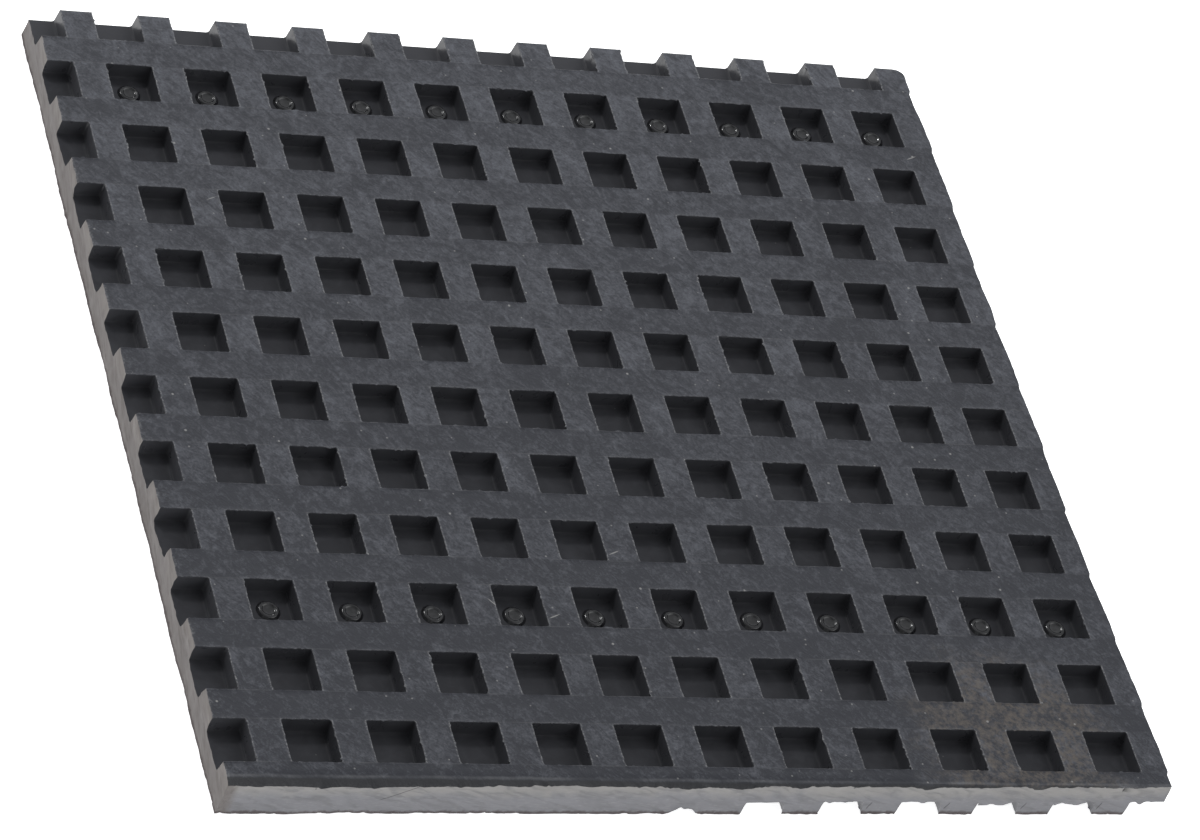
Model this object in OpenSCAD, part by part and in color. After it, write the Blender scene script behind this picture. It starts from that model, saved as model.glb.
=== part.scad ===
// Double-sided waffle isolation pad, moulded in one piece from solid rubber and cut to size.
// Frame: millimetres, +Z up, pad lying flat. The origin is at the centre of the pad's bounding
// rectangle, on the surface that it rests on. +Y points from the near cut to the far cut.

/* [Mould pattern] */
// Distance between neighbouring pocket centres, both ways
pitch = 17.3; // [15:0.1:20]
// Whole pockets across the top, left to right
columns = 11; // [3:1:14]
// Whole pockets across the top, near to far
rows = 11; // [4:1:14]
// Width of a square pocket at its mouth
pocket_mouth = 10.2; // [7:0.1:11]
// Depth of a pocket, top and bottom
pocket_depth = 3.5; // [2:0.1:4.5]
// Draft of the pocket walls, in degrees from the vertical
draft_angle = 7; // [1:0.5:12]
// Thickness of the solid web between the top and bottom pockets
web = 1.0; // [0.8:0.1:3]
// How far the bottom pockets lie to the right of the top ones
lower_shift_right = 7.8; // [5:0.1:9]
// How far the bottom pockets lie nearer than the top ones
lower_shift_near = 5.1; // [4:0.1:7]

/* [Cut edges] */
// Left cut, measured left from the first column's centre, at its near end
left_cut_near = 19.4; // [18:0.1:20]
// Left cut at its far end
left_cut_far = 18.2; // [18:0.1:20]
// Right edge, measured right from the last column's centre, at its near end
right_edge_near = 10.6; // [9:0.1:12]
// Right edge at its far end
right_edge_far = 11.1; // [9:0.1:12]
// Near cut, measured nearer from the first row's centre, at its left end
near_cut_left = 11.0; // [9:0.1:12]
// Near cut at its right end
near_cut_right = 9.1; // [9:0.1:12]
// Far cut, measured further from the last row's centre, at its left end
far_cut_left = 20.2; // [18:0.1:21]
// Far cut at its right end
far_cut_right = 19.2; // [18:0.1:21]
// Radius that the far right corner is worn to
worn_corner = 2; // [1:0.5:4]

/* [Raised pocket marks] */
// Outer diameter of the round mark on a pocket floor
mark_diameter = 5.0; // [4:0.1:5.5]
// Height of the mark above the pocket floor
mark_height = 0.55; // [0.3:0.05:1]
// Width of the slope round the mark
mark_slope = 0.45; // [0.2:0.05:0.6]
// Diameter of the dish in the mark's top
dish_diameter = 2.8; // [1:0.1:3]
// Depth of that dish
dish_depth = 0.25; // [0.1:0.05:0.25]
// Row of whole pockets, counted from the near edge, that holds the nearer marks
near_mark_row = 3; // [1:1:4]

/* [Hidden] */

web_bottom = pocket_depth;
web_top = web_bottom + web;

rib_crest = pitch - pocket_mouth;
rib_foot = rib_crest + 2 * pocket_depth * tan(draft_angle);

grid_width = (columns - 1) * pitch;
grid_length = (rows - 1) * pitch;

// Centre of the bounding rectangle, seen from the centre of the first pocket
middle_x = (grid_width + max(right_edge_near, right_edge_far) - max(left_cut_near, left_cut_far)) / 2;
middle_y = (grid_length + max(far_cut_left, far_cut_right) - max(near_cut_left, near_cut_right)) / 2;

// Ribs run past the cut edges by this much before they are trimmed
overrun = 2 * pitch;
rib_length_x = grid_width + 2 * overrun;
rib_length_y = grid_length + 2 * overrun;

corner_segments = 6;
mark_segments = 48;

rubber = [0.10, 0.105, 0.115];
cut_rubber = [0.16, 0.16, 0.17];

// Place of a top pocket's centre, counting whole pockets from 1
function column_x(i) = (i - 1) * pitch - middle_x;
function row_y(j) = (j - 1) * pitch - middle_y;

// The four cut corners, anticlockwise from the near left
near_left = [column_x(1) - left_cut_near, row_y(1) - near_cut_left];
near_right = [column_x(columns) + right_edge_near, row_y(1) - near_cut_right];
far_right = [column_x(columns) + right_edge_far, row_y(rows) + far_cut_right];
far_left = [column_x(1) - left_cut_far, row_y(rows) + far_cut_left];

// Points of an arc from the right-hand edge round to the far edge
function worn_arc(corner, r) = [
    for (k = [0 : corner_segments])
        corner - [r, r] + r * [cos(90 * k / corner_segments), sin(90 * k / corner_segments)]
];

module cut_outline() {
    polygon(concat([near_left, near_right], worn_arc(far_right, worn_corner), [far_left]));
}

module layer_blank(z, height) {
    translate([0, 0, z]) linear_extrude(height) cut_outline();
}

// Section of one rib standing on the web: foot at height 0, crest at pocket_depth
module rib_section() {
    polygon([
        [-rib_foot / 2, 0], [rib_foot / 2, 0],
        [rib_crest / 2, pocket_depth], [-rib_crest / 2, pocket_depth]
    ]);
}

// Ribs both ways over the whole grid, between pockets whose first centre is at first_x, first_y
module rib_lattice(first_x, first_y) {
    for (i = [-1 : columns + 1])
        translate([first_x + (i - 0.5) * pitch, 0, 0])
            rotate([90, 0, 0])
                linear_extrude(rib_length_y, center = true) rib_section();
    for (j = [-1 : rows + 1])
        translate([0, first_y + (j - 0.5) * pitch, 0])
            rotate([90, 0, 90])
                linear_extrude(rib_length_x, center = true) rib_section();
}

// One round mark: a low boss with a sloping side and a dished top
module pocket_mark() {
    outer = mark_diameter / 2;
    dish = dish_diameter / 2;
    rotate_extrude($fn = mark_segments)
        polygon([
            [0, 0], [outer, 0], [outer - mark_slope, mark_height],
            [dish, mark_height], [dish - dish_depth, mark_height - dish_depth],
            [0, mark_height - dish_depth]
        ]);
}

module mark_row(row) {
    for (i = [1 : columns])
        translate([column_x(i), row_y(row), web_top]) pocket_mark();
}

module upper_waffle() {
    color(rubber)
        intersection() {
            layer_blank(web_top, pocket_depth);
            translate([0, 0, web_top]) rib_lattice(column_x(1), row_y(1));
        }
}

module centre_web() {
    color(cut_rubber) layer_blank(web_bottom, web);
}

module lower_waffle() {
    color(rubber)
        intersection() {
            layer_blank(0, pocket_depth);
            translate([0, 0, web_bottom])
                mirror([0, 0, 1])
                    rib_lattice(column_x(1) + lower_shift_right, row_y(1) - lower_shift_near);
        }
}

module far_pocket_marks() {
    color(rubber) mark_row(rows);
}

module near_pocket_marks() {
    color(rubber) mark_row(near_mark_row);
}

upper_waffle();
centre_web();
lower_waffle();
far_pocket_marks();
near_pocket_marks();
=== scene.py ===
"""Visual model of a double-sided waffle isolation pad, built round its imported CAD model.

Metres, +Z up, the pad lies on the floor at z = 0. The pad is one rubber moulding. Its upper ribs, its
web, its lower ribs and two rows of raised pocket marks are separate pieces that meet inside the rubber.
"""
import itertools
import math

import bmesh
import bpy
import numpy as np
from mathutils import Matrix, Vector


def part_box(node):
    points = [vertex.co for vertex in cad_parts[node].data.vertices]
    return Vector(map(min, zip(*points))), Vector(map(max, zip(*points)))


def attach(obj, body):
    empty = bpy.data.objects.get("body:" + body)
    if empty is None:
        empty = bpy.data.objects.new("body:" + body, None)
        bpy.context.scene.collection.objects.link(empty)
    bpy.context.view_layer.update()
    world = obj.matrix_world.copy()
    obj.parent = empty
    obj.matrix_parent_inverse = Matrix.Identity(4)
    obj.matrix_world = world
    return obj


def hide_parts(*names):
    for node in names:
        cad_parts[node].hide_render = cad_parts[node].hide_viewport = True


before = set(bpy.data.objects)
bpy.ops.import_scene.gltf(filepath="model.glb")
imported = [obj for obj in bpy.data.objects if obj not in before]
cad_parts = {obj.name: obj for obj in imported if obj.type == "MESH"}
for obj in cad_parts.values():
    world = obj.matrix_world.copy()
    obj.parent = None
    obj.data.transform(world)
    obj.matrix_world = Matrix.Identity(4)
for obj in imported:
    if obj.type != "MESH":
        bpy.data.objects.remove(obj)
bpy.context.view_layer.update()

MM = 0.001

# ---------------------------------------------------------------- the pattern, read from the frame

PAD_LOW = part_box("lower_waffle")[0]
PAD_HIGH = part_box("upper_waffle")[1]
WEB_LOW, WEB_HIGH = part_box("centre_web")
FAR_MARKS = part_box("far_pocket_marks")
NEAR_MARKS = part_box("near_pocket_marks")

COLUMNS = 11
ROWS = 11
ROWS_BETWEEN_MARKS = 8
MARK_RADIUS = (FAR_MARKS[1].y - FAR_MARKS[0].y) / 2
PITCH = (FAR_MARKS[1].y - NEAR_MARKS[1].y) / ROWS_BETWEEN_MARKS
FIRST_COLUMN = FAR_MARKS[0].x + MARK_RADIUS
FAR_ROW = FAR_MARKS[0].y + MARK_RADIUS
NEAR_MARK_ROW = NEAR_MARKS[0].y + MARK_RADIUS

THICKNESS = PAD_HIGH.z - PAD_LOW.z
POCKET_DEPTH = PAD_HIGH.z - WEB_HIGH.z

# The mould's pocket, as in the CAD source
POCKET_MOUTH = 10.2 * MM
DRAFT = math.radians(7)

# The bottom pockets' place from the top ones. The cut faces lean, so this is where they show it
LOWER_SHIFT = (7.8 * MM, -5.4 * MM)

# The near rib's crest starts to fall away towards the cut at this line
CREASE = FAR_ROW - (ROWS - 0.5) * PITCH

# Where a knife stroke and a nick show on the near cut face
STROKE_X = FIRST_COLUMN + 0.95 * PITCH
NICK_X = FIRST_COLUMN + 10.05 * PITCH

# Right of this place the teeth of the near cut are torn
TORN_TEETH_X = FIRST_COLUMN + 6 * PITCH

# Here the near cut just breaks through a bottom pocket's wall
SHALLOW_GAP_X = FIRST_COLUMN + LOWER_SHIFT[0] + 4 * PITCH

# What each face of a piece is made by: the mould's flat, a mould pin or the knife
TOP, POCKET, CUT = 0, 1, 2

# Radius of the curve between a pocket's walls and its floor
FLOOR_FILLET = 0.6 * MM

# Each rib piece keeps this much of the web as its skin, so a pocket's floor and walls are one surface
SKIN = 0.2 * MM

# A rubber edge that belongs to the left cut lies within this distance of the pad's left end
LEFT_CUT_REACH = 3.2 * MM

# ---------------------------------------------------------------- small helpers


def smooth_step(low, high, value):
    """0 below low, 1 above high, with a smooth change between them."""
    t = np.clip((value - low) / (high - low), 0, 1)
    return t * t * (3 - 2 * t)


def value_noise(points, cell, seed):
    """One smooth random value from -1 to 1 for each point, on a lattice with that cell size."""
    size = 4096
    table = np.random.default_rng(seed).uniform(-1, 1, size)
    place = points / cell
    corner_index = np.floor(place).astype(np.int64)
    t = place - corner_index
    t = t * t * (3 - 2 * t)
    total = np.zeros(len(points))
    for corner in itertools.product((0, 1), repeat=3):
        # Large primes scatter neighbouring lattice points over the table
        key = corner_index + corner
        slot = (key[:, 0] * 73856093 ^ key[:, 1] * 19349663 ^ key[:, 2] * 83492791) % size
        total += table[slot] * np.prod(np.where(corner, t, 1 - t), axis=1)
    return total


# ---------------------------------------------------------------- camera, light and floor

VIEW_AZIMUTH = math.radians(-33.98)
VIEW_ELEVATION = math.radians(42.88)
VIEW_ROLL = math.radians(26.86)
VIEW_DISTANCE = 1.1943
VIEW_TARGET = Vector((0.0001, -0.0068, PAD_HIGH.z))
VIEW_LENS = 175.58


def add_camera():
    """A long lens from the near left, rolled so that the pad's near edge runs level in the picture."""
    back = Vector((
        math.sin(VIEW_AZIMUTH) * math.cos(VIEW_ELEVATION),
        -math.cos(VIEW_AZIMUTH) * math.cos(VIEW_ELEVATION),
        math.sin(VIEW_ELEVATION),
    ))
    level = Vector((0, 0, 1)).cross(back).normalized()
    upright = back.cross(level)
    right = level * math.cos(VIEW_ROLL) + upright * math.sin(VIEW_ROLL)
    up = back.cross(right)
    camera = bpy.data.objects.new("camera", bpy.data.cameras.new("camera"))
    camera.data.lens = VIEW_LENS
    camera.data.sensor_width = 36
    axes = Matrix((right, up, back)).transposed().to_4x4()
    camera.matrix_world = Matrix.Translation(VIEW_TARGET + back * VIEW_DISTANCE) @ axes
    bpy.context.scene.collection.objects.link(camera)
    bpy.context.scene.camera = camera


def add_softbox(name, location, size, watts):
    """A square area light that faces the pad."""
    light = bpy.data.lights.new(name, "AREA")
    light.size = size
    light.energy = watts
    holder = bpy.data.objects.new(name, light)
    holder.location = location
    holder.rotation_euler = (-Vector(location)).to_track_quat("-Z", "Y").to_euler()
    bpy.context.scene.collection.objects.link(holder)


# The studio is white all round, but darker on the near left, where the camera and its stand are
DARK_SIDE = (-0.57, -0.46, 0.68)
SURROUND_BRIGHT = 1.28
SURROUND_DARK = 0.20

# Cosines of the angles from that side at which the darkness starts and is full
PATCH_EDGE = 0.20
PATCH_MIDDLE = 0.93

FLOOR_GLOW = 0.9


def add_light():
    """A soft white surround with a dark patch on one side, and a small softbox for the glints."""
    world = bpy.data.worlds.new("studio")
    bpy.context.scene.world = world
    world.use_nodes = True
    tree = world.node_tree
    background = tree.nodes["Background"]
    background.inputs["Color"].default_value = (0.97, 0.985, 1.0, 1)
    direction = tree.nodes.new("ShaderNodeTexCoord")
    facing = tree.nodes.new("ShaderNodeVectorMath")
    facing.operation = "DOT_PRODUCT"
    facing.inputs[1].default_value = DARK_SIDE
    tree.links.new(direction.outputs["Generated"], facing.inputs[0])
    patch = tree.nodes.new("ShaderNodeMapRange")
    patch.interpolation_type = "SMOOTHSTEP"
    strength = {
        "From Min": PATCH_EDGE,
        "From Max": PATCH_MIDDLE,
        "To Min": SURROUND_BRIGHT,
        "To Max": SURROUND_DARK,
    }
    for name, value in strength.items():
        patch.inputs[name].default_value = value
    tree.links.new(facing.outputs["Value"], patch.inputs["Value"])
    tree.links.new(patch.outputs["Result"], background.inputs["Strength"])
    add_softbox("glint_softbox", location=(-0.45, 1.35, 1.5), size=0.25, watts=10)
    bpy.context.scene.view_settings.view_transform = "Standard"


# ---------------------------------------------------------------- material helpers


class Nodes:
    """Short calls for building one material's node tree."""

    def __init__(self, name):
        self.material = bpy.data.materials.new(name)
        self.material.use_nodes = True
        self.tree = self.material.node_tree
        self.tree.nodes.clear()

    def add(self, kind, settings=None, **inputs):
        """Adds a node. An input is a plain value, or another node's output socket."""
        node = self.tree.nodes.new(kind)
        for key, value in (settings or {}).items():
            setattr(node, key, value)
        for key, value in inputs.items():
            self.fill(node, key.replace("_", " "), value)
        return node

    def feed(self, socket, value):
        """Links an input socket to another node's output, or sets it to a plain value."""
        if isinstance(value, bpy.types.NodeSocket):
            self.tree.links.new(value, socket)
        else:
            socket.default_value = value

    def fill(self, node, name, value):
        """Feeds the first input that has that name and is in use."""
        self.feed(next(s for s in node.inputs if s.name.lower() == name.lower() and s.enabled), value)

    def math(self, operation, first, second=0.0, third=0.0):
        """A Math node's result."""
        node = self.tree.nodes.new("ShaderNodeMath")
        node.operation = operation
        for socket, value in zip(node.inputs, (first, second, third)):
            self.feed(socket, value)
        return node.outputs[0]

    def place(self, stretch=(1, 1, 1), turn=(0, 0, 0)):
        """Object coordinates in which a pattern comes out stretched along axes turned by those degrees."""
        coordinates = self.add("ShaderNodeTexCoord").outputs["Object"]
        mapping = self.add(
            "ShaderNodeMapping",
            {"vector_type": "TEXTURE"},
            Vector=coordinates,
            Scale=stretch,
            Rotation=tuple(math.radians(angle) for angle in turn),
        )
        return mapping.outputs["Vector"]

    def axis(self, name):
        """One object coordinate, in metres."""
        return self.add("ShaderNodeSeparateXYZ", Vector=self.place()).outputs[name]

    def noise(self, size, detail=3.0, place=None, distortion=0.0, roughness=0.5):
        """Noise from 0 to 1 with features of about that size in metres."""
        node = self.add(
            "ShaderNodeTexNoise",
            Vector=place or self.place(),
            Scale=1 / size,
            Detail=detail,
            Distortion=distortion,
            Roughness=roughness,
        )
        return node.outputs["Fac"]

    def ramp(self, value, low, high, from_value=0.0, to_value=1.0):
        """value's range low to high, mapped smoothly onto from_value to to_value."""
        node = self.add(
            "ShaderNodeMapRange",
            {"interpolation_type": "SMOOTHSTEP"},
            Value=value,
            From_Min=low,
            From_Max=high,
            To_Min=from_value,
            To_Max=to_value,
        )
        return node.outputs["Result"]

    def mix(self, factor, first, second):
        """A blend of two colours."""
        node = self.add("ShaderNodeMix", {"data_type": "RGBA"}, Factor=factor, A=first, B=second)
        return next(s for s in node.outputs if s.enabled)

    def level(self):
        """1 where the surface is level and 0 where it is upright."""
        normal = self.add("ShaderNodeNewGeometry").outputs["Normal"]
        return self.math("ABSOLUTE", self.add("ShaderNodeSeparateXYZ", Vector=normal).outputs["Z"])

    def bump(self, height, distance, strength):
        """A normal bent by a height map. The distance is the height's full range in metres."""
        node = self.add("ShaderNodeBump", Height=height, Distance=distance, Strength=strength)
        return node.outputs["Normal"]

    def specks(self, size, share, radius, place=None):
        """1 inside small spots, one in each of that share of the cells. The radius is a share of a cell."""
        cells = self.add("ShaderNodeTexVoronoi", Vector=place or self.place(), Scale=1 / size)
        pick = self.add("ShaderNodeSeparateColor", Color=cells.outputs["Color"]).outputs[0]
        near = self.ramp(cells.outputs["Distance"], radius * 0.55, radius, 1.0, 0.0)
        return self.math("MULTIPLY", near, self.math("LESS_THAN", pick, share))

    def scratches(self, size, share, turn):
        """Short thin streaks that run at that angle, in degrees from +X."""
        return self.specks(size, share, 0.07, self.place((9, 1, 1), (0, 0, turn)))

    def line(self, along, middle, height, slope, reach, width):
        """1 on a slanting line in an upright plane, fading out at that reach from its middle."""
        slant = self.math("MULTIPLY_ADD", along, slope, height - slope * middle)
        apart = self.math("ABSOLUTE", self.math("SUBTRACT", self.axis("Z"), slant))
        from_middle = self.math("ABSOLUTE", self.math("SUBTRACT", along, middle))
        fade = self.ramp(from_middle, reach * 0.7, reach, 1.0, 0.0)
        return self.math("MULTIPLY", fade, self.ramp(apart, width * 0.4, width, 1.0, 0.0))

    def patch(self, centre, reach, edge):
        """1 round a place on the pad, fading out at that reach, with an uneven border."""
        apart = self.add("ShaderNodeVectorMath", {"operation": "DISTANCE"})
        self.tree.links.new(self.place(), apart.inputs[0])
        apart.inputs[1].default_value = centre
        uneven = self.math("MULTIPLY_ADD", edge, -reach, apart.outputs["Value"])
        return self.ramp(uneven, reach * 0.05, reach * 0.55, 1.0, 0.0)

    def finish(self, shader_inputs):
        """Ends the tree in a Principled shader."""
        shader = self.tree.nodes.new("ShaderNodeBsdfPrincipled")
        for name, value in shader_inputs.items():
            self.fill(shader, name, value)
        output = self.tree.nodes.new("ShaderNodeOutputMaterial")
        self.tree.links.new(shader.outputs["BSDF"], output.inputs["Surface"])
        return self.material


# ---------------------------------------------------------------- materials


def lay_dirt(n, colour):
    """Brown dirt round one place near the near right corner."""
    spread = n.noise(8 * MM, 6.0, n.place((1.6, 1, 1)), 0.8, 0.62)
    dirt = n.patch((70 * MM, PAD_LOW.y + 13 * MM, PAD_HIGH.z), 25 * MM, spread)
    dirt = n.math("MULTIPLY", dirt, n.ramp(n.noise(1.2 * MM, 5.0, roughness=0.65), 0.36, 0.70))
    dirt = n.math("MULTIPLY", dirt, n.ramp(n.axis("Z"), WEB_HIGH.z, PAD_HIGH.z - 1 * MM))
    return n.mix(n.math("MULTIPLY", dirt, 0.62), colour, (0.116, 0.093, 0.071, 1))


def wear_and_highlight_rims(n, colour):
    """Pale, ragged pocket rims and cut edges, where the vertex attribute "rim" says so: wear, and a painted
    highlight where a raised burr catches the light.
    """
    rim = n.add("ShaderNodeAttribute", {"attribute_name": "rim"}).outputs["Fac"]
    torn = n.ramp(n.noise(0.45 * MM, 3.0), 0.46, 0.64)
    # worn holds the rims' wear and their painted highlight
    worn = n.math("MULTIPLY", n.ramp(rim, 0.15, 0.85), n.math("MULTIPLY_ADD", torn, 0.62, 0.16))
    return n.mix(worn, colour, (0.180, 0.181, 0.186, 1))


def paint_crest_bend_light(n, colour, crease_y, clouds):
    """Painted shade where the near rib's crest falls away, as darker rubber, and a painted highlight, as a
    pale line along the bend.
    """
    edge = n.math("MULTIPLY_ADD", n.noise(6 * MM, 3.0), 0.5 * MM, n.axis("Y"))
    # Painted shade: darker rubber on the band where the crest falls away towards the near cut
    fallen = n.ramp(edge, crease_y - 0.20 * MM, crease_y + 0.30 * MM, 1.0, 0.0)
    colour = n.mix(n.math("MULTIPLY", fallen, 0.85), colour, (0.014, 0.0145, 0.017, 1))
    # Painted highlight: a pale line along the bend
    from_bend = n.math("ABSOLUTE", n.math("SUBTRACT", edge, crease_y + 0.45 * MM))
    bend = n.ramp(from_bend, 0.0, 0.60 * MM, 1.0, 0.0)
    bend = n.math("MULTIPLY", bend, n.ramp(clouds, 0.35, 0.65, 0.1, 0.38))
    return n.mix(bend, colour, (0.145, 0.147, 0.155, 1))


def strew_specks(n, colour):
    """Pale specks of two sizes, and short scratches in two directions."""
    marks = n.math("MAXIMUM", n.specks(4.6 * MM, 0.42, 0.075), n.scratches(2.4 * MM, 0.12, -52))
    marks = n.math("MAXIMUM", marks, n.scratches(2.6 * MM, 0.07, 24))
    marks = n.math("MAXIMUM", marks, n.math("MULTIPLY", n.specks(2.7 * MM, 0.32, 0.10), 0.7))
    return n.mix(n.math("MULTIPLY", marks, 0.70), colour, (0.280, 0.276, 0.270, 1))


def moulded_rubber(name, row_y, crease_y):
    """Matte black rubber with a dust film, wiping marks, pale specks, dirt, pocket rims with wear and a
    painted highlight, and painted shade and a painted highlight where the near crest bends.

    The film is a little paler between the pockets of a row, and row_y is one row's place. The near
    rib's crest starts to fall away at crease_y.
    """
    n = Nodes(name)
    clouds = n.noise(14 * MM, 4.0, distortion=1.5, roughness=0.6)
    flow = n.noise(3.4 * MM, 5.0, n.place((1.7, 1, 1), (0, 0, -52)), 2.2, 0.66)
    mottling = n.noise(1.7 * MM, 4.0, distortion=1.0, roughness=0.7)
    wiping = n.noise(0.70 * MM, 3.0, n.place((4, 1, 1), (0, 0, -50)), 0.8)
    grain = n.noise(0.45 * MM, 2.0)
    film = 0.282
    for pattern, share in ((clouds, 0.60), (flow, 0.90), (mottling, 1.00), (wiping, 0.30), (grain, 0.45)):
        film = n.math("MULTIPLY_ADD", n.math("SUBTRACT", pattern, 0.5), share, film)
    # Darker towards the near end of the pad and paler towards the far end
    film = n.math("ADD", film, n.ramp(n.axis("Y"), PAD_LOW.y, PAD_HIGH.y, -0.085, 0.07))
    across_rows = n.math("MULTIPLY_ADD", n.axis("Y"), 1 / PITCH, -row_y / PITCH)
    from_row = n.math("PINGPONG", across_rows, 0.5)
    film = n.math("ADD", film, n.ramp(from_row, 0.285, 0.310, 0.115, 0.0))
    colour = n.mix(n.ramp(film, 0.10, 0.95), (0.0040, 0.0056, 0.0134, 1), (0.101, 0.106, 0.124, 1))
    colour = lay_dirt(n, colour)

    border = n.ramp(n.math("ABSOLUTE", n.math("SUBTRACT", from_row, 0.300)), 0.0, 0.014, 1.0, 0.0)
    border = n.math("MULTIPLY", border, n.ramp(n.noise(5 * MM, 3.0), 0.42, 0.62, 0.1, 0.7))
    colour = n.mix(n.math("MULTIPLY", border, 0.28), colour, (0.125, 0.125, 0.130, 1))
    colour = wear_and_highlight_rims(n, colour)
    colour = paint_crest_bend_light(n, colour, crease_y, clouds)
    colour = strew_specks(n, colour)

    surface = n.math("MULTIPLY_ADD", flow, 0.55, n.math("MULTIPLY", wiping, 0.20))
    surface = n.math("MULTIPLY_ADD", grain, 0.15, n.math("MULTIPLY_ADD", border, 0.10, surface))
    return n.finish({
        "Base Color": colour,
        "Roughness": n.ramp(film, 0.2, 0.8, 0.50, 0.68),
        "Specular IOR Level": 0.42,
        "Normal": n.bump(surface, 0.25 * MM, 0.8),
    })


def pocket_rubber(name, painted_light_share):
    """Smooth black rubber off a mould pin, with faint draw marks and some grit.

    Its walls are painted paler as painted light, and the pockets that the far cut opens as a painted
    reflection of the bright backdrop. painted_light_share makes all of it paler, as painted light.
    """
    n = Nodes(name)
    draw_marks = n.noise(0.5 * MM, 3.0, n.place((1, 1, 8)))
    film = n.noise(3.5 * MM, 4.0, distortion=0.5)
    dark, pale, painted_light_tone = (
        tuple(painted_light_share * value for value in colour) + (1,)
        for colour in ((0.035, 0.0356, 0.0402), (0.045, 0.0458, 0.0516), (0.064, 0.0650, 0.0722))
    )
    colour = n.mix(n.ramp(film, 0.35, 0.75), dark, pale)
    # Painted reflection: the pockets that the far cut opens are painted paler, as if they reflected the
    # bright backdrop
    far_end = n.ramp(n.axis("Y"), FAR_ROW + 0.65 * PITCH, FAR_ROW + 0.85 * PITCH, 0.0, 0.7)
    level = n.level()
    # Painted light: upright walls are painted paler
    colour = n.mix(n.math("MAXIMUM", n.ramp(level, 0.3, 0.8, 0.4, 0.0), far_end), colour, painted_light_tone)
    grit = n.math("MULTIPLY", n.specks(3.0 * MM, 0.22, 0.06), 0.5)
    colour = n.mix(grit, colour, (0.16, 0.16, 0.155, 1))
    height = n.math("ADD", n.math("MULTIPLY", draw_marks, 0.4), n.math("MULTIPLY", film, 0.6))
    return n.finish({
        "Base Color": colour,
        "Roughness": n.math("MULTIPLY_ADD", film, 0.14, n.ramp(level, 0.3, 0.8, 0.22, 0.36)),
        "Specular IOR Level": n.ramp(level, 0.3, 0.8, 0.35, 0.05),
        "Normal": n.bump(height, 0.12 * MM, 0.5),
    })


def mark_rubber():
    """The glossiest skin on the pad, on the raised marks, brightest on their edges."""
    n = Nodes("mark_rubber")
    film = n.noise(0.9 * MM, 3.0)
    level = n.level()
    colour = n.mix(n.ramp(film, 0.4, 0.7), (0.012, 0.0124, 0.014, 1), (0.026, 0.0265, 0.029, 1))
    return n.finish({
        "Base Color": colour,
        "Roughness": n.ramp(film, 0.3, 0.7, 0.08, 0.18),
        "Specular IOR Level": n.ramp(level, 0.78, 0.985, 1.0, 0.22),
        "Normal": n.bump(film, 0.06 * MM, 0.5),
    })


def score_cut(n, colour):
    """The dark lines on the near cut face: one stroke, one nick, and a tear in each tooth."""
    stroke = n.line(n.axis("X"), STROKE_X, 5.6 * MM, 0.50, 4.2 * MM, 0.13 * MM)
    nick = n.line(n.axis("X"), NICK_X, 7.0 * MM, 0.55, 0.8 * MM, 0.26 * MM)
    # Place along one pitch from a bottom pocket's centre. Whole pitches are added to keep it positive
    tooth_place = n.math("ADD", n.axis("X"), 20 * PITCH - FIRST_COLUMN - LOWER_SHIFT[0])
    tooth_place = n.math("MODULO", tooth_place, PITCH)
    tears = n.line(tooth_place, 6.0 * MM, 2.4 * MM, 2.2, 0.45 * MM, 0.40 * MM)
    torn_share = n.ramp(n.axis("X"), TORN_TEETH_X - 1 * MM, TORN_TEETH_X, 0.0, 0.85)
    tears = n.math("MULTIPLY", tears, torn_share)
    lines = n.math("MAXIMUM", n.math("MULTIPLY", stroke, 0.85), n.math("MAXIMUM", nick, tears))
    return n.mix(lines, colour, (0.060, 0.058, 0.060, 1))


def darken_foot(n, colour):
    """The uneven dark line along the foot of a cut face."""
    foot_unevenness = n.noise(1.3 * MM, 4.0, roughness=0.65)
    above_foot = n.math("MULTIPLY_ADD", foot_unevenness, 1.5 * MM, n.axis("Z"))
    foot = n.ramp(above_foot, 1.10 * MM, 1.85 * MM, 1.0, 0.0)
    return n.mix(n.math("MULTIPLY", foot, 0.85), colour, (0.060, 0.044, 0.044, 1))


def cut_rubber():
    """Dry, paler rubber where the knife went through, with soft smears, lines and small pits.

    It is paler towards the top, and darker and streaked on the left cut face.
    """
    n = Nodes("cut_rubber")
    smears = n.noise(1.8 * MM, 4.0, n.place((4, 4, 1), (12, 16, 0)), 1.2)
    blotches = n.noise(8 * MM, 4.0, distortion=1.2)
    fine = n.noise(0.30 * MM, 2.0, n.place((4, 4, 1)))
    upper = n.ramp(n.math("MULTIPLY_ADD", blotches, 5 * MM, n.axis("Z")), 6.2 * MM, 9.6 * MM)
    colour = n.mix(upper, (0.196, 0.196, 0.210, 1), (0.254, 0.247, 0.239, 1))
    colour = n.mix(n.ramp(smears, 0.46, 0.70, 0.0, 0.60), colour, (0.152, 0.151, 0.158, 1))
    colour = n.mix(n.ramp(fine, 0.50, 0.80, 0.0, 0.30), colour, (0.320, 0.317, 0.315, 1))
    left = n.ramp(n.axis("X"), PAD_LOW.x + 1.0 * MM, PAD_LOW.x + LEFT_CUT_REACH, 1.0, 0.0)
    colour = n.mix(n.math("MULTIPLY", left, 0.80), colour, (0.146, 0.130, 0.122, 1))
    streaks = n.ramp(n.noise(0.7 * MM, 3.0, n.place((1, 9, 1), (14, 0, 0))), 0.50, 0.66, 0.0, 0.6)
    colour = n.mix(n.math("MULTIPLY", left, streaks), colour, (0.110, 0.098, 0.092, 1))

    colour = score_cut(n, colour)
    colour = darken_foot(n, colour)
    pits = n.specks(5 * MM, 0.35, 0.06)
    colour = n.mix(n.math("MULTIPLY", pits, 0.8), colour, (0.05, 0.05, 0.052, 1))

    ridges = n.math("ADD", n.math("MULTIPLY", smears, 0.7), n.math("MULTIPLY", fine, 0.3))
    return n.finish({
        "Base Color": colour,
        "Roughness": n.ramp(smears, 0.3, 0.7, 0.62, 0.82),
        "Specular IOR Level": 0.35,
        "Normal": n.bump(ridges, 0.20 * MM, 0.7),
    })


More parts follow.
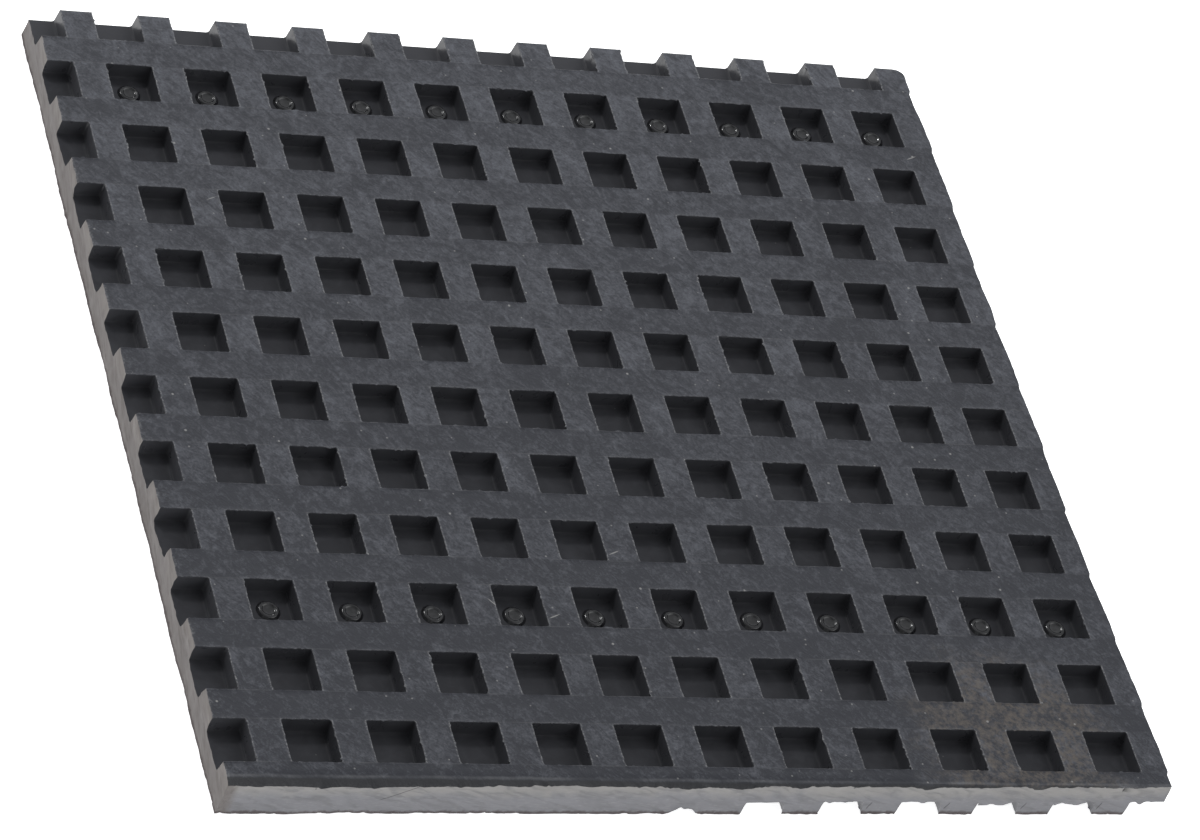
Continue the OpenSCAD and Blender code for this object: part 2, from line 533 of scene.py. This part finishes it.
def pale_floor():
    """A plain pale light table that shows only from above, so that views from below see the pad."""
    n = Nodes("pale_floor")
    tint = n.mix(n.noise(0.4, 2.0), (0.955, 0.955, 0.955, 1), (0.975, 0.975, 0.975, 1))
    paper = n.add("ShaderNodeBsdfDiffuse", Color=tint).outputs[0]
    glow = n.add("ShaderNodeEmission", Color=tint, Strength=FLOOR_GLOW).outputs[0]
    lit = n.tree.nodes.new("ShaderNodeAddShader")
    n.tree.links.new(paper, lit.inputs[0])
    n.tree.links.new(glow, lit.inputs[1])
    clear = n.add("ShaderNodeBsdfTransparent").outputs[0]
    below = n.add("ShaderNodeNewGeometry").outputs["Backfacing"]
    choose = n.tree.nodes.new("ShaderNodeMixShader")
    for socket, value in zip(choose.inputs, (below, lit.outputs[0], clear)):
        n.tree.links.new(value, socket)
    output = n.tree.nodes.new("ShaderNodeOutputMaterial")
    n.tree.links.new(choose.outputs[0], output.inputs["Surface"])
    return n.material


# ---------------------------------------------------------------- one pocket's tile


def square_ring(half, corner, side_steps, corner_steps):
    """A rounded square's points, anticlockwise from the middle of its right side."""
    flat = half - corner
    quarter = [(half, flat * k / side_steps) for k in range(side_steps)]
    for k in range(corner_steps + 1):
        angle = math.pi / 2 * k / max(corner_steps, 1)
        quarter.append((flat + corner * math.cos(angle), flat + corner * math.sin(angle)))
    quarter += [(flat * (1 - k / side_steps), half) for k in range(1, side_steps)]
    points = []
    for turns in range(4):
        cosine, sine = round(math.cos(turns * math.pi / 2)), round(math.sin(turns * math.pi / 2))
        points += [(x * cosine - y * sine, x * sine + y * cosine) for x, y in quarter]
    return points


def ring_band(outer, inner, points):
    """Faces between two rings of point numbers, which may hold different counts."""
    if len(outer) == len(inner):
        count = len(outer)
        return [
            (outer[k], outer[(k + 1) % count], inner[(k + 1) % count], inner[k]) for k in range(count)
        ]
    faces, i, j = [], 0, 0
    outer_angle = np.unwrap([math.atan2(points[k][1], points[k][0]) for k in outer + outer[:1]])
    inner_angle = np.unwrap([math.atan2(points[k][1], points[k][0]) for k in inner + inner[:1]])
    while i < len(outer) or j < len(inner):
        step_outer = j == len(inner) or (i < len(outer) and outer_angle[i + 1] <= inner_angle[j + 1])
        here, there = outer[i % len(outer)], inner[j % len(inner)]
        if step_outer:
            i += 1
            faces.append((here, outer[i % len(outer)], there))
        else:
            j += 1
            faces.append((here, inner[j % len(inner)], there))
    return faces


def fillet_rings():
    """(half width, depth) down the curve that joins a drafted wall to the pocket's floor."""
    centre_depth = POCKET_DEPTH - FLOOR_FILLET
    touch_depth = centre_depth + FLOOR_FILLET * math.sin(DRAFT)
    touch_half = POCKET_MOUTH / 2 - math.tan(DRAFT) * touch_depth
    centre_half = touch_half - FLOOR_FILLET * math.cos(DRAFT)
    steps = 3
    rings = []
    for k in range(steps + 1):
        angle = DRAFT + (math.pi / 2 - DRAFT) * k / steps
        rings.append((
            centre_half + FLOOR_FILLET * math.cos(angle),
            centre_depth + FLOOR_FILLET * math.sin(angle),
        ))
    return rings


def pocket_tile(corner, rim_steps):
    """Points, faces, face materials and rim weights of the surface round and inside one pocket.

    The tile is one pitch square, centred on the pocket, and depths count down from the rib's crest.
    The corner is the radius between two neighbouring walls, and each side of the rim has rim_steps parts.
    """
    mouth = POCKET_MOUTH / 2
    wall_depth = 1.7 * MM
    rings = [
        # half width, corner radius, depth, side steps, corner steps, rim weight, material outside it
        (PITCH / 2, 0.0, 0.0, 4, 0, 0.0, TOP),
        (mouth + 1.2 * MM, corner + 0.9 * MM, 0.0, 5, 2, 0.0, TOP),
        (mouth + 0.40 * MM, corner + 0.30 * MM, 0.0, 8, 3, 0.25, TOP),
        (mouth + 0.14 * MM, corner + 0.12 * MM, -0.06 * MM, rim_steps, 3, 1.0, TOP),
        (mouth, corner, 0.03 * MM, rim_steps, 3, 0.9, TOP),
        (mouth - 0.045 * MM, corner, 0.36 * MM, 8, 3, 0.2, POCKET),
        (mouth - math.tan(DRAFT) * wall_depth, corner, wall_depth, 4, 3, 0.0, POCKET),
    ]
    fillet = fillet_rings()
    for k, (half, depth) in enumerate(fillet):
        shrink = 1 - 0.8 * k / (len(fillet) - 1)
        rings.append((half, corner * shrink, depth, 4, 3, 0.0, POCKET))
    rings.append((2.2 * MM, 0.5 * MM, POCKET_DEPTH, 2, 1, 0.0, POCKET))

    points, weights, faces, materials, previous = [], [], [], [], None
    for half, radius, depth, side_steps, corner_steps, weight, material in rings:
        ring = square_ring(half, radius, side_steps, corner_steps)
        numbers = list(range(len(points), len(points) + len(ring)))
        points += [(x, y, -depth) for x, y in ring]
        weights += [weight] * len(ring)
        if previous:
            band = ring_band(previous, numbers, points)
            faces += band
            materials += [material] * len(band)
        previous = numbers
    centre = len(points)
    points.append((0, 0, -POCKET_DEPTH))
    weights.append(0.0)
    count = len(previous)
    faces += [(previous[k], previous[(k + 1) % count], centre) for k in range(count)]
    materials += [POCKET] * count
    return np.array(points), faces, materials, np.array(weights)


def tear_rims(points, centres, weights):
    """Makes the pocket rims ragged: small wander everywhere, and here and there a scrap hanging in."""
    outward = points - centres
    outward[:, 2] = 0
    side = np.abs(outward)
    main_axis = side[:, 0] > side[:, 1]
    push = np.zeros_like(points)
    push[:, 0] = np.where(main_axis, np.sign(outward[:, 0]), 0)
    push[:, 1] = np.where(main_axis, 0, np.sign(outward[:, 1]))
    wander = (value_noise(points, 1.6 * MM, 11) * 0.05 + value_noise(points, 0.5 * MM, 12) * 0.07) * MM
    scrap = np.clip(value_noise(points, 0.6 * MM, 13) - 0.58, 0, 1) * 1.0 * MM
    lift = value_noise(points, 0.8 * MM, 14) * 0.03 * MM
    moved = points + push * (weights * (wander - scrap))[:, None]
    moved[:, 2] += weights * lift
    return moved


# ---------------------------------------------------------------- cutting a piece out of the sheet


def outline():
    """The pad's corner points seen from above, anticlockwise, from the CAD web."""
    flat = {(round(v.co.x, 6), round(v.co.y, 6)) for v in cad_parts["centre_web"].data.vertices}
    return [Vector(p) for p in sorted(flat, key=lambda p: math.atan2(p[1], p[0]))]


# How far each side's cut leans outwards from top to bottom, the height at which it meets the CAD
# outline, and the width of the cells that its face is divided into
SIDE_CUTS = {
    "near": (0.90 * MM, 4.0 * MM, 0.60 * MM),
    "left": (0.70 * MM, 3.0 * MM, 0.70 * MM),
    "far": (0.10 * MM, 4.0 * MM, 1.10 * MM),
    "right": (0.15 * MM, 4.0 * MM, 1.10 * MM),
}
CELL_HEIGHT = 0.75 * MM

# A vertex this near a plane counts as lying on it
ON_PLANE = 1e-8


def side_of(direction):
    """The name of the side that an outward direction points to."""
    if abs(direction.x) > abs(direction.y):
        return "right" if direction.x > 0 else "left"
    return "far" if direction.y > 0 else "near"


def cut_planes():
    """(point, outward normal, run direction, side name) for each edge of the outline."""
    corners = outline()
    planes = []
    for start, end in zip(corners, corners[1:] + corners[:1]):
        run = (end - start).normalized()
        outward = Vector((run.y, -run.x))
        side = side_of(outward)
        lean, level, _cell = SIDE_CUTS[side]
        normal = Vector((outward.x, outward.y, lean / THICKNESS)).normalized()
        planes.append((Vector((start.x, start.y, level)), normal, run.to_3d(), side))
    return planes


def split_faces(faces, point, normal):
    """Splits the faces that a plane crosses and leaves the rest of the mesh alone.

    Returns the faces behind the plane and the faces in front of it.
    """
    behind, ahead = [], []
    for face in faces:
        reach = {v: (v.co - point).dot(normal) for v in face.verts}
        if max(reach.values()) <= 0:
            behind.append(face)
            continue
        if min(reach.values()) >= 0:
            ahead.append(face)
            continue
        crossings = [v for v in face.verts if abs(reach[v]) < ON_PLANE]
        for edge in face.edges[:]:
            first, second = edge.verts
            far_enough = min(abs(reach[first]), abs(reach[second])) >= ON_PLANE
            if far_enough and reach[first] * reach[second] < 0:
                share = reach[first] / (reach[first] - reach[second])
                crossings.append(bmesh.utils.edge_split(edge, first, share)[1])
        along = normal.cross(face.normal)
        crossings.sort(key=lambda v: v.co.dot(along))
        parts = {face}
        for start, end in zip(crossings[0::2], crossings[1::2]):
            whole = next((f for f in parts if start in f.verts and end in f.verts), None)
            joined = whole is None or any(end in e.verts for e in start.link_edges)
            if not joined:
                parts.add(bmesh.utils.face_split(whole, start, end)[0])
        for part in parts:
            part.normal_update()
            side = max(part.verts, key=lambda v: abs((v.co - point).dot(normal)))
            (ahead if (side.co - point).dot(normal) > 0 else behind).append(part)
    return behind, ahead


def divide_cap(faces, run, side, low, high):
    """Divides one cut face into small cells, so that it can be shaped."""
    cell = SIDE_CUTS[side][2]
    reach = [v.co.dot(run) for f in faces for v in f.verts]
    columns, rest = [], faces
    for stop in np.arange(min(reach) + 0.97 * cell, max(reach) - cell / 3, cell):
        done, rest = split_faces(rest, run * stop, run)
        columns += done
    rest += columns
    for level in np.arange(low + CELL_HEIGHT, high - CELL_HEIGHT / 3, CELL_HEIGHT):
        _below, rest = split_faces(rest, Vector((0, 0, level)), Vector((0, 0, 1)))


def trim(bm, low, high):
    """Cuts the sheet to the pad's outline and closes it with divided faces. The right one is moulded.

    Only the faces that reach a plane's neighbourhood take part in its cut, which keeps it quick.
    """
    for point, normal, run, side in cut_planes():
        places = np.array([v.co for v in bm.verts])
        reach = (places - np.array(point)) @ np.array(normal)
        affected = set()
        for vertex in itertools.compress(bm.verts, reach > -PITCH / 8):
            affected.update(vertex.link_faces)
        around = set(affected)
        for face in affected:
            around.update(face.edges, face.verts)
        cut = bmesh.ops.bisect_plane(
            bm, geom=list(around), plane_co=point, plane_no=normal, clear_outer=True, dist=1e-7
        )
        edges = [e for e in cut["geom_cut"] if isinstance(e, bmesh.types.BMEdge)]
        made = bmesh.ops.triangle_fill(bm, use_beauty=False, use_dissolve=True, edges=edges, normal=normal)
        caps = [f for f in made["geom"] if isinstance(f, bmesh.types.BMFace)]
        for face in caps:
            face.material_index = TOP if side == "right" else CUT
        if caps:
            divide_cap(caps, run, side, low, high)


# ---------------------------------------------------------------- the shape's small faults


def wander_in_place(points):
    """The slow unevenness of a rubber sheet."""
    moved = points.copy()
    moved[:, 0] += value_noise(points, 34 * MM, 21) * 0.12 * MM
    moved[:, 1] += value_noise(points, 34 * MM, 22) * 0.12 * MM
    flat = points * (1, 1, 0)
    moved[:, 2] += value_noise(flat, 48 * MM, 23) * 0.10 * MM + value_noise(flat, 11 * MM, 24) * 0.03 * MM
    return moved


def bulge_right_edge(points):
    """Swells the moulded right edge up to a small step at each pocket's near end, and at both its ends."""
    reach = PAD_HIGH.x - points[:, 0]
    at_edge = 1 - smooth_step(0.2 * MM, 3.2 * MM, reach)
    along_tile = ((points[:, 1] - FAR_ROW) / PITCH + 0.33) % 1
    step = np.clip(along_tile / 0.05, 0, 1) - 0.5 - np.clip(along_tile - 0.3, 0, 1) / 0.7
    rough = value_noise(points, 5 * MM, 31) * 0.18 + value_noise(points, 1.2 * MM, 32) * 0.12
    ends = smooth_step(-40 * MM, -95 * MM, points[:, 1]) + smooth_step(20 * MM, 90 * MM, points[:, 1])
    moved = points.copy()
    moved[:, 0] += at_edge * (0.20 + 0.42 * step + rough + 0.45 * ends) * MM
    return moved


def near_cut_line(points):
    """Distance of each point behind the near cut's line at mid height."""
    corners = outline()
    left = min(corners, key=lambda p: p.x + p.y)
    right = max(corners, key=lambda p: p.x - p.y)
    slope = (right.y - left.y) / (right.x - left.x)
    return points[:, 1] - (left.y + slope * (points[:, 0] - left.x))


def drop_near_crest(points):
    """The near rib's crest bends down at the crease and falls away to the cut."""
    slope = 0.22
    past_crease = np.clip(CREASE - points[:, 1], 0, 3 * MM)
    on_crest = smooth_step(PAD_HIGH.z - 1.2 * MM, PAD_HIGH.z - 0.1 * MM, points[:, 2])
    moved = points.copy()
    moved[:, 2] -= on_crest * past_crease * slope
    return moved


def wave_cuts(points, on_cut):
    """The waves that the knife left in the cut faces."""
    stretched = points * (0.30, 0.30, 1)
    waves = (value_noise(stretched, 2.2 * MM, 41) * 0.13 + value_noise(points, 1.1 * MM, 42) * 0.07) * MM
    near = near_cut_line(points) < 2 * MM
    left = points[:, 0] < PAD_LOW.x + LEFT_CUT_REACH
    moved = points.copy()
    moved[:, 1] += np.where(near, on_cut * waves, 0)
    moved[:, 0] += np.where(left & ~near, on_cut * waves * 1.6, 0)
    return moved


def tear_cuts(points, on_cut):
    """The torn edges: scallops along the near crest, scraps and a gap below, a worn left crest, a nick."""
    reach = near_cut_line(points)
    near = on_cut * (reach < 2 * MM)
    along = points * (1, 0, 0)
    height = points[:, 2]
    crest = near * np.clip(1 - (PAD_HIGH.z - height) / (2 * MM), 0, 1)
    scallops = np.clip(0.75 - np.abs(value_noise(along, 13 * MM, 57)) * 1.7, 0, 1)
    scallops += np.abs(value_noise(along, 3.4 * MM, 51)) * 0.30
    scallops += np.abs(value_noise(along, 1.1 * MM, 52)) * 0.32
    roots = near * (np.abs(height - WEB_LOW.z) < 0.15 * MM)
    scraps = value_noise(along, 1.3 * MM, 53) + value_noise(along, 4 * MM, 54) * 0.7
    scraps = np.clip(scraps + 0.42, -0.1, 1.2) * 0.90
    foot = near * (height < PAD_LOW.z + 0.05 * MM)
    chips = np.clip(value_noise(along, 1.0 * MM, 55) - 0.2, 0, 1) * 0.40
    left = on_cut * (points[:, 0] < PAD_LOW.x + LEFT_CUT_REACH) * (height > PAD_HIGH.z - 0.15 * MM)
    worn = np.abs(value_noise(points, 2.0 * MM, 56)) * 0.30
    from_nick = (points[:, 0] - NICK_X) / (0.7 * MM)
    nick = near * np.exp(-(from_nick**2)) * (height > PAD_HIGH.z - 1.0 * MM)
    from_gap = (points[:, 0] - SHALLOW_GAP_X) / (2.7 * MM)
    gap = np.exp(-(from_gap**4)) * smooth_step(3.5 * MM, 2.0 * MM, reach)
    gap *= np.clip(1 - height / (3.4 * MM), 0, 1) * (1.8 + 0.5 * value_noise(along, 1.0 * MM, 58))
    moved = points.copy()
    moved[:, 2] -= (crest * scallops + roots * scraps - foot * chips + left * worn - gap) * MM
    moved[:, 1] += (nick * 0.7 - crest * scallops * 0.2) * MM
    return moved


def give_faults(bm):
    """Moves every vertex of a piece by the pad's shared field of small faults.

    Where a piece has a "rim" attribute, its cut edges are marked in it too, for the rims' pale wear and
    painted highlight.
    """
    rim_layer = bm.verts.layers.float.get("rim")
    points = np.array([v.co for v in bm.verts])
    on_cut = np.array([float(any(f.material_index == CUT for f in v.link_faces)) for v in bm.verts])
    points = tear_cuts(points, on_cut)
    points = wave_cuts(points, on_cut)
    points = drop_near_crest(points)
    points = bulge_right_edge(points)
    points = wander_in_place(points)
    for vertex, place in zip(bm.verts, points):
        vertex.co = place
    if rim_layer:
        for vertex, cut in zip(bm.verts, on_cut):
            vertex[rim_layer] = max(vertex[rim_layer], 0.7 * cut)


# ---------------------------------------------------------------- the pieces

# An edge that turns by more than this is shaded as a sharp one
SHARP_ANGLE = math.radians(38)


def finish_piece(name, bm, node, materials):
    """Turns a closed bmesh into a piece that rides on the pad and stands for its CAD node."""
    bmesh.ops.recalc_face_normals(bm, faces=bm.faces[:])
    for face in bm.faces:
        face.smooth = True
    for edge in bm.edges:
        if len(edge.link_faces) == 2:
            made_by = {face.material_index for face in edge.link_faces}
            ends_cut = len(made_by) == 2 and CUT in made_by
            edge.smooth = edge.calc_face_angle(0) < SHARP_ANGLE and not ends_cut
    mesh = bpy.data.meshes.new(name)
    bm.to_mesh(mesh)
    bm.free()
    for material in materials:
        mesh.materials.append(material)
    piece = bpy.data.objects.new(name, mesh)
    bpy.context.scene.collection.objects.link(piece)
    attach(piece, "root")
    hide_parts(node)


def tile_centres(first_x, first_y):
    """Every pocket centre of a pattern whose tile touches the pad."""
    margin = PITCH / 2 + 1 * MM
    first_column = math.ceil((PAD_LOW.x - margin - first_x) / PITCH)
    last_column = math.floor((PAD_HIGH.x + margin - first_x) / PITCH)
    first_row = math.ceil((PAD_LOW.y - margin - first_y) / PITCH)
    last_row = math.floor((PAD_HIGH.y + margin - first_y) / PITCH)
    return np.array([
        (first_x + i * PITCH, first_y + j * PITCH, 0)
        for i in range(first_column, last_column + 1)
        for j in range(first_row, last_row + 1)
    ])


def rib_sheet(first_x, first_y, corner, rim_steps, crest, up):
    """A bmesh of one face of the untrimmed sheet. up is 1 for the top face and -1 for the bottom one."""
    points, faces, materials, weights = pocket_tile(corner, rim_steps)
    centres = tile_centres(first_x, first_y)
    count = len(points)
    all_points = (points[None] + centres[:, None]).reshape(-1, 3)
    all_weights = np.tile(weights, len(centres))
    all_points = tear_rims(all_points, np.repeat(centres, count, axis=0), all_weights)
    all_points[:, 2] = crest + up * all_points[:, 2]
    all_faces = (face_numbers(faces, k * count) for k in range(len(centres)))
    mesh = bpy.data.meshes.new("sheet")
    mesh.from_pydata(all_points.tolist(), [], list(itertools.chain.from_iterable(all_faces)))
    mesh.polygons.foreach_set("material_index", np.tile(materials, len(centres)))
    rim = mesh.attributes.new("rim", "FLOAT", "POINT")
    rim.data.foreach_set("value", all_weights * rim_wear_and_highlight_share(points, len(centres)))
    bm = bmesh.new()
    bm.from_mesh(mesh)
    bpy.data.meshes.remove(mesh)
    bmesh.ops.remove_doubles(bm, verts=[v for v in bm.verts if v.is_boundary], dist=0.01 * MM)
    return bm


def rim_wear_and_highlight_share(points, count):
    """How pale the rim is at each point of that many tiles, from wear and a painted highlight: most at its
    left and right sides, which catch the light.
    """
    across = np.abs(points[:, 0]) > np.abs(points[:, 1])
    left_or_right = np.where(points[:, 0] < 0, 1.0, 0.8)
    far_or_near = np.where(points[:, 1] > 0, 0.45, 0.15)
    return np.tile(np.where(across, left_or_right, far_or_near), count)


def face_numbers(faces, shift):
    """The faces with every point number moved up by shift."""
    return [tuple(number + shift for number in face) for face in faces]


def close_sheet(bm, level):
    """Gives an open sheet straight sides and a flat back at that level."""
    rim_edges = [e for e in bm.edges if e.is_boundary]
    made = bmesh.ops.extrude_edge_only(bm, edges=rim_edges)
    for element in made["geom"]:
        if isinstance(element, bmesh.types.BMVert):
            element.co.z = level
    back_edges = [e for e in bm.edges if e.is_boundary]
    bmesh.ops.edgeloop_fill(bm, edges=back_edges)


def add_waffle(name, node, first, corner, rim_steps, crest, up, back, materials):
    """The ribs, pocket walls and pocket floors of one side of the pad.

    first is the (x, y) of one pocket's centre. crest and back are the heights of the rib tops and of
    the flat face that meets the web.
    """
    bm = rib_sheet(first[0], first[1], corner, rim_steps, crest, up)
    close_sheet(bm, back)
    trim(bm, min(crest, back), max(crest, back))
    give_faults(bm)
    finish_piece(name, bm, node, materials)


def add_web(materials):
    """The solid sheet between the two sets of pockets. Only its cut edges show."""
    bm = bmesh.new()
    low, high = WEB_LOW.z + SKIN, WEB_HIGH.z - SKIN
    bmesh.ops.create_grid(bm, x_segments=1, y_segments=1, size=PAD_HIGH.x + PITCH)
    for vertex in bm.verts:
        vertex.co.z = high
    close_sheet(bm, low)
    trim(bm, low, high)
    give_faults(bm)
    finish_piece("centre_web_rubber", bm, "centre_web", materials)


MARK_SEGMENTS = 48


def mark_profile(height):
    """(radius, height) along a low round boss with soft edges and a dished top."""
    foot = MARK_RADIUS
    soft = 0.18 * MM
    return [
        (foot + 0.10 * MM, -0.10 * MM),
        (foot, 0.02 * MM),
        (foot - 0.10 * MM, 0.12 * MM),
        (foot - 0.33 * MM, height - soft),
        (foot - 0.42 * MM, height - 0.4 * soft),
        (foot - 0.58 * MM, height),
        (foot - 0.92 * MM, height),
        (foot - 1.08 * MM, height - 0.4 * soft),
        (foot - 1.22 * MM, height - 0.20 * MM),
        (foot - 1.40 * MM, height - 0.25 * MM),
        (foot - 2.00 * MM, height - 0.26 * MM),
    ]


def add_marks(name, node, row_y, material):
    """A row of round marks on the pocket floors."""
    low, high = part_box(node)
    profile = mark_profile(high.z - low.z)
    bm = bmesh.new()
    for column in range(COLUMNS):
        centre = Vector((FIRST_COLUMN + column * PITCH, row_y, low.z))
        rings = []
        for radius, height in profile:
            ring = []
            for k in range(MARK_SEGMENTS):
                angle = 2 * math.pi * k / MARK_SEGMENTS
                offset = Vector((radius * math.cos(angle), radius * math.sin(angle), height))
                ring.append(bm.verts.new(centre + offset))
            rings.append(ring)
        for lower, upper in zip(rings, rings[1:]):
            for k in range(MARK_SEGMENTS):
                after = (k + 1) % MARK_SEGMENTS
                bm.faces.new((lower[k], lower[after], upper[after], upper[k]))
        bm.faces.new(rings[0][::-1])
        bm.faces.new(rings[-1])
    give_faults(bm)
    finish_piece(name, bm, node, [material])


# The uneven underside dips by up to 0.2 mm, so the floor lies this much below the CAD's
FLOOR_DROP = 0.25 * MM


def add_floor():
    """The surface that the pad lies on."""
    bm = bmesh.new()
    bmesh.ops.create_grid(bm, x_segments=8, y_segments=8, size=3.0)
    mesh = bpy.data.meshes.new("studio_floor")
    bm.to_mesh(mesh)
    bm.free()
    mesh.materials.append(pale_floor())
    floor = bpy.data.objects.new("studio_floor", mesh)
    floor.location.z = PAD_LOW.z - FLOOR_DROP
    bpy.context.scene.collection.objects.link(floor)


# ---------------------------------------------------------------- the scene

add_camera()
add_light()
add_floor()

upper_first = (FIRST_COLUMN, FAR_ROW)
lower_first = (FIRST_COLUMN + LOWER_SHIFT[0], FAR_ROW + LOWER_SHIFT[1])
off_the_pad = PAD_LOW.y - PITCH
cut = cut_rubber()
upper_rubber = [
    moulded_rubber("upper_rubber", upper_first[1], CREASE),
    pocket_rubber("upper_pocket_rubber", 1),
    cut,
]
lower_rubber = [
    moulded_rubber("lower_rubber", lower_first[1], off_the_pad),
    # The bottom pockets are painted paler, as painted light on the flanks that the near cut shows
    pocket_rubber("lower_pocket_rubber", 2.5),
    cut,
]
marks = mark_rubber()

add_waffle(
    "upper_waffle_rubber",
    "upper_waffle",
    first=upper_first,
    corner=0.38 * MM,
    rim_steps=12,
    crest=PAD_HIGH.z,
    up=1,
    back=WEB_HIGH.z - SKIN,
    materials=upper_rubber,
)
add_waffle(
    "lower_waffle_rubber",
    "lower_waffle",
    first=lower_first,
    corner=0.9 * MM,
    rim_steps=8,
    crest=PAD_LOW.z,
    up=-1,
    back=WEB_LOW.z + SKIN,
    materials=lower_rubber,
)
add_web(upper_rubber)
add_marks("far_pocket_marks_rubber", "far_pocket_marks", FAR_ROW, marks)
add_marks("near_pocket_marks_rubber", "near_pocket_marks", NEAR_MARK_ROW, marks)
